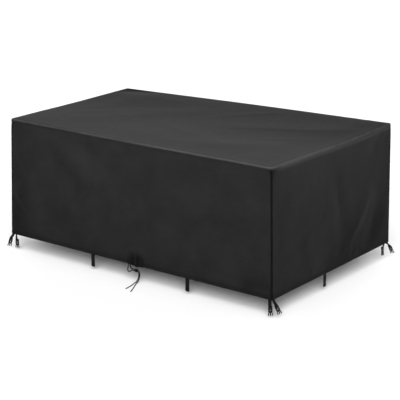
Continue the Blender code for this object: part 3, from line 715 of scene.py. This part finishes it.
def side_cloth(side):
    """A panel's points, its cloth coordinates, its painted shading and its outward direction."""
    length = side_length(side, 0.0)
    u = seam_to_seam(length)
    fall = DROP + SKIN - ROLL - SKIRT
    stitch = fall - HEM_HEIGHT
    middle = np.linspace(0.030, stitch - 0.006, 104)
    v = np.concatenate((NEAR_TOP, middle, stitch + NEAR_STITCH, fall - NEAR_HEM))
    top_z = SKIN - ROLL - SKIRT - TOP_GAP + top_rise(side, u / length)
    height = top_z + DROP - hem_rise(side, u / length)
    points = np.zeros((len(v), len(u), 3))
    half = len(u) // 2
    for r, depth in enumerate(v / fall):
        points[r, :half, :2] = half_row(side, 1, depth, u[:half], length)
        points[r, half:, :2] = half_row(side + 1, -1, depth, length - u[half:], length)
        points[r, :, 2] = top_z - height * depth
    u, down = np.meshgrid(u, v)
    down = down * (height / fall)
    along = corner_at(side + 1, 0.5) - corner_at(side, 0.5)
    out = unit(np.array((along[1], -along[0], 0.0)))
    stand, dip = side_relief(side, u, down, height - down, length)
    points += out * stand[..., None]
    points[..., 2] -= dip
    return points, u, down, side_shade(SIDES[side], u, down, height - down, length), out


TURNED_UP = np.array((1, 2, 3, 4.5, 5.5, 7, 15, 22, 29)) / 1000      # distances past the hem's edge
FLAP = (                 # grid line of the panel beside it, depth behind it, distance from the seam
    (7, 0.0022, -0.0105), (5, 0.0024, -0.0065), (3, 0.0026, -0.0035), (1, 0.0023, -0.0015))


def turn_up(points, u, down, painted_shading, out):
    """Add the hem's fold and its inner face, turned up inside the panel."""
    edge = points[-1]
    rows = []
    for angle in range(30, 181, 30):
        cos, sin = turned(angle)
        rows.append(edge - out * (HEM_ROUND * (1 - cos)) - np.array((0.0, 0.0, HEM_ROUND * sin)))
    inside = edge - out * 2 * HEM_ROUND
    rows += [inside + (points[HEM_STITCH_ROW] - edge) * share for share in (0.35, 0.70, 1.0)]
    further = TURNED_UP[:, None]
    u_more, painted_shading_more = u[-1:] + 0 * further, painted_shading[-1:] + 0 * further
    more = ((points, rows), (u, u_more), (down, down[-1:] + further), (painted_shading, painted_shading_more))
    return [np.concatenate(pair) for pair in more]


def seam_allowance(points, u, down, painted_shading, beside, inward):
    """The raw edge beyond the corner seam: it lies flat behind the panel beside it."""
    above = slice(HEM_STITCH_ROW + 1)
    columns = [beside[above, -1 - line] + inward * behind for line, behind, _ in FLAP] + [points[above, 0]]
    widths = np.array([width for _, _, width in FLAP] + [0.0])
    down, painted_shading = (part[above, :1] + 0 * widths for part in (down, painted_shading))
    return [np.stack(columns, 1), u[above, :1] + widths, down, painted_shading]


cut = [side_cloth(side) for side in range(4)]
for side, name in enumerate(SIDES):
    *grid, out = cut[side]
    grid[0][-1, :, 2] += HEM_ROUND
    flap = seam_allowance(*grid, cut[side - 1][0], unit(-out - cut[side - 1][4]))
    parts = [[part[::-1] for part in turn_up(*grid, out)], [part[::-1] for part in flap]]
    mesh = cloth_grid(f"{name}_panel", *parts)
    panel = add_piece(f"{name}_cloth", mesh, cloth, f"{name}_panel", slot="coated_cloth")
    thicken(panel, CLOTH_THICK)

# ---- stitching ----
# Black polyester thread, lockstitched about 4 mm long: one row beside each seam, one above the hem,
# and a crossed box through the hem wherever webbing is sewn on behind it.
STITCH_PITCH = 0.0042
STITCH_LENGTH = 0.0036
THREAD = 0.00045


def thread_material():
    """Glossier than the cloth, twisted from fine filaments."""
    material, tree, shader = finish_material("sewing_thread", Roughness=0.45, IOR=1.35)
    fibres = speckle(tree, 1800.0, 2.0)
    tint(shader, fibres, (0.003, 0.003, 0.003), (0.010, 0.010, 0.0103))
    bump(shader, fibres, 0.00008)
    return material


def stitch_tree(material):
    """Geometry nodes that lay one grain of thread on every step along the lines they are given."""
    tree = bpy.data.node_groups.new("stitches", "GeometryNodeTree")
    tree.interface.new_socket("Lines", in_out="INPUT", socket_type="NodeSocketGeometry")
    for name in ("Pitch", "Stitch length", "Thread"):
        tree.interface.new_socket(name, in_out="INPUT", socket_type="NodeSocketFloat")
    tree.interface.new_socket("Stitches", in_out="OUTPUT", socket_type="NodeSocketGeometry")
    given = tree.nodes.new("NodeGroupInput").outputs
    lines = output(tree, "GeometryNodeMeshToCurve", {"Mesh": given["Lines"]})
    spacing = {"Curve": lines, "Length": given["Pitch"]}
    steps = output(tree, "GeometryNodeResampleCurve", spacing, mode="LENGTH")
    grain = output(tree, "GeometryNodeMeshIcoSphere", {"Radius": 1.0, "Subdivisions": 1})
    along = output(tree, "GeometryNodeInputTangent")
    turn = output(tree, "FunctionNodeAlignRotationToVector", {"Vector": along}, axis="X")
    size = {"X": times(given["Stitch length"], 0.5), "Y": given["Thread"], "Z": given["Thread"]}
    scale = output(tree, "ShaderNodeCombineXYZ", size)
    laid = output(tree, "GeometryNodeInstanceOnPoints",
                  {"Points": steps, "Instance": grain, "Rotation": turn, "Scale": scale})
    real = output(tree, "GeometryNodeRealizeInstances", {"Geometry": laid})
    done = output(tree, "GeometryNodeSetMaterial", {"Geometry": real, "Material": material})
    tree.links.new(done, tree.nodes.new("NodeGroupOutput").inputs["Stitches"])
    return tree


thread = thread_material()
stitches = stitch_tree(thread)


def sew(name, lines, slot, pitch=STITCH_PITCH, length=STITCH_LENGTH, thickness=THREAD):
    """Rows of stitches along lines of points, as one plain mesh."""
    verts = [tuple(point) for line in lines for point in line]
    edges, start = [], 0
    for line in lines:
        edges += [(start + k, start + k + 1) for k in range(len(line) - 1)]
        start += len(line)
    path = bpy.data.meshes.new(name)
    path.from_pydata(verts, edges, [])
    carrier = put(name, path)
    modifier = carrier.modifiers.new("stitches", "NODES")
    modifier.node_group = stitches
    sizes = {"Pitch": pitch, "Stitch length": length, "Thread": thickness}
    for item in stitches.interface.items_tree:
        if item.name in sizes:
            modifier[item.identifier] = sizes[item.name]
    mesh = finished_mesh(carrier)
    bpy.data.objects.remove(carrier)
    mesh.materials.clear()
    add_piece(name, mesh, thread, slot=slot)


def surface(points):
    """The grid's points, lifted a little off the cloth for the thread to lie there."""
    normal = np.cross(np.gradient(points, axis=1), -np.gradient(points, axis=0))
    normal /= np.linalg.norm(normal, axis=2, keepdims=True) + 1e-12
    return points + normal * THREAD * 0.35


def on_panel(lifted, u, v, at_u, at_v):
    """Point of the panel at cloth coordinates, between its grid lines."""
    column = min(max(np.searchsorted(u, at_u) - 1, 0), len(u) - 2)
    row = min(max(np.searchsorted(v, at_v) - 1, 0), len(v) - 2)
    s = (at_u - u[column]) / (u[column + 1] - u[column])
    t = (at_v - v[row]) / (v[row + 1] - v[row])
    upper, lower = (lifted[line, column] * (1 - s) + lifted[line, column + 1] * s for line in (row, row + 1))
    return upper * (1 - t) + lower * t


def crossed_box(lifted, u, v, middle, half_width=0.0100, low=0.0035, high=0.0190):
    """Lines of a stitched rectangle with its two diagonals, on the hem's outer face."""
    left, right, bottom, top = middle - half_width, middle + half_width, v[-1] - low, v[-1] - high
    corners = [(left, bottom), (right, bottom), (right, top), (left, top)]
    lines = []
    for a, b in ((0, 1), (1, 2), (2, 3), (3, 0), (0, 2), (1, 3)):
        steps = np.linspace(np.array(corners[a]), np.array(corners[b]), 9)
        lines.append([on_panel(lifted, u, v, *step) for step in steps])
    return lines


WEBBING_ROOTS = {        # distance of each sewn-on webbing from the panel's first corner, along the hem
    "front": (0.0440, 0.341 * 2.135, 0.702 * 2.135, 2.135 - 0.0195),
    "right": (0.0195, 0.430 * 1.357, 1.357 - 0.0620),
    "back": (0.0195, 0.298 * 2.132, 0.664 * 2.132, 2.132 - 0.0195),
    "left": (0.0195, 0.500 * 1.357, 1.357 - 0.0195),
}
for side, name in enumerate(SIDES):
    points, u, down = cut[side][:3]
    lifted = surface(points)
    lines = [lifted[TOP_STITCH_ROW, 5:-5], lifted[HEM_STITCH_ROW, 3:-3]]
    for column in (SEAM_STITCH_COLUMN, -1 - SEAM_STITCH_COLUMN):
        lines.append(lifted[TOP_STITCH_ROW:HEM_STITCH_ROW, column])
    for root in WEBBING_ROOTS[name]:
        lines += crossed_box(lifted, u[0], down[:, 0], root / side_length(side, 1.0) * u[0, -1])
    sew(f"{name}_stitching", lines, "coated_cloth")

# ---- corner straps and buckles ----
# Each strap is 25 mm black polypropylene webbing, sewn behind the hem, looped through the upper
# slot of a moulded three-pronged buckle half and sewn back on itself.
WEB_WIDTH = 0.025
WEB_THICK = 0.0016
RIB_WIDTH, FLOAT_LENGTH = 0.0019, 0.0021
WEB_ROOT = 0.021
WEB_STEPS = 18
WEB_HANDLE = 0.015
WEB_UPPER = (            # half the section, in shares of the width and thickness; the rest mirrors it
    (-0.5, 0.0), (-0.485, 0.32), (-0.455, 0.5), (-0.3, 0.5), (-0.1, 0.5), (0.1, 0.5), (0.3, 0.5),
    (0.455, 0.5), (0.485, 0.32))
WEB_SECTION = (*WEB_UPPER, *((-x, -y) for x, y in WEB_UPPER))
STRAP_FREE = 0.050
LOOP_RADIUS = 0.0039
LOOP_TAIL = 0.014
BUCKLE_REACH = 0.046
HEM_INSIDE = 0.0043      # the solids' hem thickness and clearance
STRAPS = (               # corner, side, gathered share, twist; inset, bar and tip away and out in mm
    ("front_left", "front", 0.5, 4, 44, -3, -4, 4, 3),
    ("front_left", "left", 0, 6, 19.5, -28, 6, -40, 10),
    ("front_right", "front", 0, 8, 19.5, -13, 18, -25, 32),
    ("front_right", "right", 0, 8, 19.5, 1, 29, 0, 53),
    ("back_right", "right", 0.2, -5, 62, -24, -17, -14, -8),
    ("back_right", "back", 0, 9, 19.5, -20, 26, -37, 32),
    ("back_left", "back", 0, 8, 19.5, 4, 10, 6, 22),
    ("back_left", "left", 0.1, -6, 19.5, 3, 6, 8, 10),
)
CORNER_NAMES = ("front_left", "front_right", "back_right", "back_left")


def woven_webbing():
    """Black polypropylene: lengthwise ribs, each crossed by slanting floats."""
    material, tree, shader = finish_material("webbing", Roughness=0.55, IOR=1.35, Specular_IOR_Level=0.3)
    _, where = metres_of(tree)
    rib = calc("DIVIDE", where["Y"], RIB_WIDTH)
    number = calc("FLOOR", rib)
    inside = calc("SUBTRACT", rib, number)
    crown = calc("SINE", times(inside, math.pi))
    slant = plus(calc("DIVIDE", where["X"], FLOAT_LENGTH), plus(times(number, 0.5), times(inside, 0.6)))
    floats = calc("ABSOLUTE", calc("SINE", times(slant, math.pi)))
    height = times(crown, plus(times(floats, 0.6), 0.4))
    bump(shader, height, 0.00028)
    # Colour follows the weave's relief: painted shade in its hollows.
    tint(shader, height, (0.001, 0.001, 0.001), (0.007, 0.007, 0.0072))
    return material


def moulded_plastic():
    """Black acetal with a fine spark-eroded texture and gloss softened by wear."""
    material, tree, shader = finish_material("buckle_plastic", IOR=1.48, Specular_IOR_Level=0.2)
    grain, wear_and_painted_shading = speckle(tree, 2200.0, 2.0), speckle(tree, 160.0, 3.0)
    bump(shader, grain, 0.00004, 0.6)
    tint(shader, wear_and_painted_shading, (0.002, 0.002, 0.002), (0.005, 0.005, 0.0052))
    roughen(shader, wear_and_painted_shading, 0.28, 0.48)
    return material


webbing = woven_webbing()
plastic = moulded_plastic()


def hem_frame(side, distance, from_start):
    """A point on the hem's inner face at its lower edge, with the panel's directions there."""
    hem, hem_end = (Vector(corner_at(side + k, 1.0)) for k in (0, 1))
    high, high_end = (Vector(corner_at(side + k, 0.0)) for k in (0, 1))
    fraction = distance / (hem_end - hem).length
    if not from_start:
        fraction = 1.0 - fraction
    low = Vector((*hem.lerp(hem_end, fraction), hem_rise(side, fraction) - DROP))
    top_point = Vector((*high.lerp(high_end, fraction), float(top_rise(side, fraction))))
    along = Vector((*(hem_end - hem).normalized(), 0.0))
    up = (top_point - low).normalized()
    out = along.cross(up).normalized()
    return low - out * HEM_INSIDE, along, out, up


def hanging(away, out, reach, away_way, out_way):
    """The way to the end of something of length reach that hangs so far away and out."""
    fall = math.sqrt(reach ** 2 - away ** 2 - out ** 2)
    return away_way * away + out_way * out - Vector((0.0, 0.0, fall))


def strap_path(corner_name, side_name, gathered, twist, *places):
    """Steps of a strap from behind the hem to the buckle's bar, and the way the buckle hangs."""
    inset, bar_away, bar_out, tip_away, tip_out = (place / 1000 for place in places)
    corner, side = CORNER_NAMES.index(corner_name), SIDES.index(side_name)
    from_start = corner == side
    origin, along, out, up = hem_frame(side, inset, from_start)
    origin -= out * WEB_THICK / 2
    away = along if from_start else -along
    center = origin + hanging(bar_away, bar_out, STRAP_FREE, away, out)
    hang = hanging(tip_away - bar_away, tip_out - bar_out, BUCKLE_REACH, away, out).normalized()
    path = [(origin + up * WEB_ROOT * share, along, -up, 1.0 - gathered, WEB_THICK)
            for share in (1.0, 0.75, 0.5, 0.25)]
    handles = origin - up * WEB_HANDLE, center - hang * WEB_HANDLE
    points = interpolate_bezier(origin, *handles, center, WEB_STEPS + 1)
    for k, point in enumerate(points):
        direction = hang if k == WEB_STEPS else -up
        if 0 < k < WEB_STEPS:
            direction = (points[k + 1] - points[k - 1]).normalized()
        share = float(ease(k / WEB_STEPS))
        across = Matrix.Rotation(math.radians(twist * share), 3, direction) @ along
        across = (across - direction * across.dot(direction)).normalized()
        path.append((point, across, direction, 1.0 - gathered * (1.0 - share), WEB_THICK))
    return path, hang


def web_mesh(name, path, thickness=WEB_THICK, full=WEB_WIDTH):
    """Webbing along steps of centre, width direction, direction, width share and thickness."""
    rings = []
    for center, across, direction, share, thick in path:
        face = across.cross(direction).normalized()
        rings.append([center + across * x * full * share + face * y * thick for x, y in WEB_SECTION])
    around = distances([Vector((x * full, y * thickness, 0)) for x, y in (*WEB_SECTION, WEB_SECTION[0])])
    return loft(name, rings, distances([step[0] for step in path]), around)


BUCKLE_THICK = 0.0044
BUCKLE_EDGE = 0.0006
BUCKLE_HALF = metres((   # outline from the middle of the top edge to the middle prong
    (0, 1.7), (14, 1.7), (15.5, 0.2), (15.5, -19), (14, -24.5), (15, -29), (18.4, -37), (18.4, -40),
    (15.2, -45), (12.2, -45), (13, -38), (10.8, -29), (8, -26.2), (5, -26.2), (3.4, -28), (2.8, -43),
    (1.6, -44.5),
))
BUCKLE_SLOTS = metres(((12.8, -1.7, -5.5), (6, -12.5, -16.3)))      # half width, upper and lower edge


def cut_corners(points, share=0.22):
    """Round every corner of a closed outline by cutting it twice."""
    for _ in range(2):
        result = []
        for (ax, ay), (bx, by) in zip(points, points[1:] + points[:1]):
            result += [(ax + (bx - ax) * share, ay + (by - ay) * share),
                       (bx - (bx - ax) * share, by - (by - ay) * share)]
        points = result
    return points


def outline_mesh(name, outlines, half_thick, edge):
    """A flat plate cut to closed outlines, its edges rounded."""
    curve = bpy.data.curves.new(name, "CURVE")
    curve.dimensions = "2D"
    curve.fill_mode = "BOTH"
    curve.extrude = half_thick - edge
    curve.bevel_depth = edge
    curve.bevel_resolution = 2
    curve.offset = -edge
    for points in outlines:
        spline = curve.splines.new("POLY")
        spline.points.add(len(points) - 1)
        for slot, (x, y) in zip(spline.points, points):
            slot.co = (x, y, 0.0, 1.0)
        spline.use_cyclic_u = True
    carrier = put(name, curve)
    mesh = finished_mesh(carrier)
    bpy.data.objects.remove(carrier)
    joined = bmesh.new()
    joined.from_mesh(mesh)
    bmesh.ops.remove_doubles(joined, verts=joined.verts, dist=1e-6)
    bmesh.ops.recalc_face_normals(joined, faces=joined.faces)
    joined.to_mesh(mesh)
    joined.free()
    return mesh


def buckle_mesh():
    outlines = [cut_corners(BUCKLE_HALF + [(-x, y) for x, y in BUCKLE_HALF[:0:-1]])]
    for width, upper, lower in BUCKLE_SLOTS:
        outlines.append(cut_corners([(width, upper), (width, lower), (-width, lower), (-width, upper)], 0.12))
    return outline_mesh("buckle", outlines, BUCKLE_THICK / 2, BUCKLE_EDGE)


buckle_shape = buckle_mesh()
bartacks = []
for strap in STRAPS:
    path, hang = strap_path(*strap)
    center, across = path[-1][:2]
    front = across.cross(hang)
    if front.dot(Vector((center.x, center.y, 0.0))) < 0:
        path = [(step[0], -step[1], *step[2:]) for step in path]
        across, front = -across, -front
    bar = center - front * LOOP_RADIUS
    for angle in range(15, 181, 15):
        cos, sin = turned(angle)
        offset = front * cos + hang * sin
        path.append((bar + offset * LOOP_RADIUS, across, hang * cos - front * sin, 1.0, WEB_THICK))
    for back in (0.35, 0.7, 1.0):
        path.append((bar - front * LOOP_RADIUS - hang * LOOP_TAIL * back, across, -hang, 1.0, WEB_THICK))
    label = f"{strap[0]}_{strap[1]}"
    mesh = web_mesh(f"webbing_{label}", path)
    add_piece(f"webbing_{label}", mesh, webbing, f"strap_{label}", slot="webbing")
    plate = buckle_shape.copy()
    plate.transform(Matrix.Translation(bar) @ Matrix((across, -hang, front)).transposed().to_4x4())
    add_piece(f"clip_{label}", plate, plastic, f"buckle_{label}", slot="buckle_plastic")
    for row in (0.008, 0.0115):
        middle = center + front * (WEB_THICK / 2 + THREAD * 0.3) - hang * row
        bartacks.append([middle - across * 0.010, middle, middle + across * 0.010])
sew("strap_stitching", bartacks, "webbing", 0.0013, 0.0030, 0.0004)

# ---- hem tabs ----
# Doubled 30 mm webbing, sewn behind the hem and hanging straight down. The end is folded up on
# itself, pressed and sewn.
TAB_WIDTH = 0.030
TAB_THICK = 0.0034
TAB_FREE = 0.086
TAB_END = 0.014          # length, thickness, roundness and width of the folded end
TAB_END_THICK = 0.0056
TAB_ROUND = 0.0075
TAB_TIP_SHARE = 0.40
TABS = (                 # name, side, share of the way along the hem
    ("tab_front_left", "front", 0.341), ("tab_front_right", "front", 0.702), ("tab_right", "right", 0.430),
    ("tab_back_right", "back", 0.298), ("tab_back_left", "back", 0.664), ("tab_left", "left", 0.500),
)


def tab_steps():
    """Distance down from the hem's edge, width share and thickness of each step of a tab."""
    fold = TAB_FREE - TAB_END
    steps = [(float(low), 1.0, TAB_THICK) for low in np.linspace(0.0, fold - 0.002, 9)]
    steps += [(fold - 0.001, 1.0, TAB_THICK), (fold, 1.0, TAB_END_THICK), (fold + 0.003, 1.0, TAB_END_THICK)]
    for angle in (0, 15, 30, 45, 60, 75, 84):
        cos, sin = turned(angle)
        width, thick = TAB_TIP_SHARE + (1.0 - TAB_TIP_SHARE) * cos, TAB_END_THICK * (0.45 + 0.55 * cos)
        steps.append((TAB_FREE - TAB_ROUND * (1.0 - sin), width, thick))
    return steps


down_way = Vector((0.0, 0.0, -1.0))
tab_rows = []
for tab_name, side_name, share in TABS:
    side = SIDES.index(side_name)
    origin, along, out, up = hem_frame(side, float(side_length(side, 1.0)) * share, True)
    origin -= out * TAB_THICK / 2
    path = [(origin + up * WEB_ROOT, along, down_way, 1.0, TAB_THICK)]
    path += [(origin + down_way * low, along, down_way, width, thick) for low, width, thick in tab_steps()]
    mesh = web_mesh(tab_name, path, TAB_THICK, TAB_WIDTH)
    add_piece(f"{tab_name}_webbing", mesh, webbing, tab_name, slot="webbing")
    for low in (TAB_FREE - TAB_END + 0.0035, TAB_FREE - 0.0045):
        middle = origin + down_way * low + out * (TAB_END_THICK / 2 + THREAD * 0.2)
        tab_rows.append([middle - along * 0.0120, middle, middle + along * 0.0120])
sew("tab_stitching", tab_rows, "webbing", 0.0032, 0.0028, 0.0004)

# ---- toggle ----
# A moulded two-hole cord lock that grips both ends of the drawcord.
TOGGLE_AT = Vector((0.024, -0.686, -0.8330))
TOGGLE_SIZE = (0.016, 0.014, 0.020)
TOGGLE_ROUND = 0.0034
BORE_RADIUS, BORE_OFFSET = 0.0035, 0.0043


def toggle_mesh():
    """A rounded block with two bores; the cutters are removed again."""
    block = bmesh.new()
    bmesh.ops.create_cube(block, size=1.0, matrix=Matrix.Diagonal((*TOGGLE_SIZE, 1.0)))
    bmesh.ops.bevel(block, geom=block.edges[:], offset=TOGGLE_ROUND, segments=5, profile=0.5, affect="EDGES")
    pieces = [put_shape("toggle", block)]
    for z in (BORE_OFFSET, -BORE_OFFSET):
        rod = bmesh.new()
        place = Matrix.Translation((0.0, 0.0, z)) @ Matrix.Rotation(math.pi / 2, 4, "Y")
        bmesh.ops.create_cone(rod, cap_ends=True, segments=28, radius1=BORE_RADIUS, radius2=BORE_RADIUS,
                              depth=0.03, matrix=place)
        pieces.append(put_shape("bore", rod))
        pieces[0].modifiers.new("bore", "BOOLEAN").object = pieces[-1]
    done = finished_mesh(pieces[0])
    for piece in pieces:
        bpy.data.objects.remove(piece)
    done.transform(Matrix.Translation(TOGGLE_AT))
    return done


def put_shape(name, shape):
    mesh = bpy.data.meshes.new(name)
    shape.to_mesh(mesh)
    shape.free()
    return put(name, mesh)


toggle = add_piece("toggle_body", toggle_mesh(), plastic, "cord_toggle", slot="buckle_plastic")
toggle.data.set_sharp_from_angle(angle=math.radians(40))

# ---- floor and light ----
# A plain white floor, under broad soft lights from above, from the front and a weak one from behind.
FLOOR_HALF = 90
white, _, paint = finish_material("floor", Roughness=1.0, Specular_IOR_Level=0.0)
paint.inputs["Base Color"].default_value = (0.85, 0.85, 0.85, 1.0)
floor_mesh = bpy.data.meshes.new("floor")
corners = [(x * FLOOR_HALF, y * FLOOR_HALF, FLOOR_Z) for x, y in ((-1, -1), (1, -1), (1, 1), (-1, 1))]
floor_mesh.from_pydata(corners, [], [(0, 1, 2, 3)])
floor_mesh.materials.append(white)
floor = put("floor", floor_mesh)
floor.visible_diffuse = False
floor.visible_glossy = False

STUDIO = (               # degrees above the horizon, brightness of the studio there
    (-90, 0.42), (-3, 0.42), (3, 0.51), (18, 0.51), (32, 0.26), (50, 0.26), (65, 0.02), (90, 0.02),
)
LIGHTS = (               # name, degrees round from the front to the right, height, breadth, strength
    ("key", 34, 40, 50, 2.60), ("low", 34, 20, 30, 1.60), ("overhead", 37, 75, 50, 1.00),
    ("behind", 217, 25, 50, 1.20),
)
sky = bpy.data.worlds.new("studio")
sky.use_nodes = True
bpy.context.scene.world = sky
tree = sky.node_tree
direction = node(tree, "ShaderNodeTexCoord").outputs["Generated"]
upward = node(tree, "ShaderNodeSeparateXYZ", {0: direction}).outputs["Z"]
shade = node(tree, "ShaderNodeValToRGB", {0: plus(times(upward, 0.5), 0.5)})
ramp = shade.color_ramp.elements
for k, (height, brightness) in enumerate(STUDIO):
    position = 0.5 + 0.5 * math.sin(math.radians(height))
    stop = ramp[0] if k == 0 else ramp[-1] if k == len(STUDIO) - 1 else ramp.new(position)
    stop.color = (brightness, brightness, brightness, 1.0)
tree.links.new(shade.outputs["Color"], tree.nodes["Background"].inputs["Color"])
tree.nodes["Background"].inputs["Strength"].default_value = 1.0

for name, round_degrees, height, breadth, strength in LIGHTS:
    light = bpy.data.lights.new(name, "SUN")
    light.energy = strength
    light.angle = math.radians(breadth)
    (cos, sin), (level, up) = turned(round_degrees), turned(height)
    toward = Vector((sin * level, -cos * level, up))
    lamp = put(name, light)
    lamp.rotation_euler = toward.to_track_quat("Z", "Y").to_euler()
    lamp.visible_glossy = height > 60

scene = bpy.context.scene
scene.view_settings.view_transform = "Standard"
scene.view_settings.look = "None"
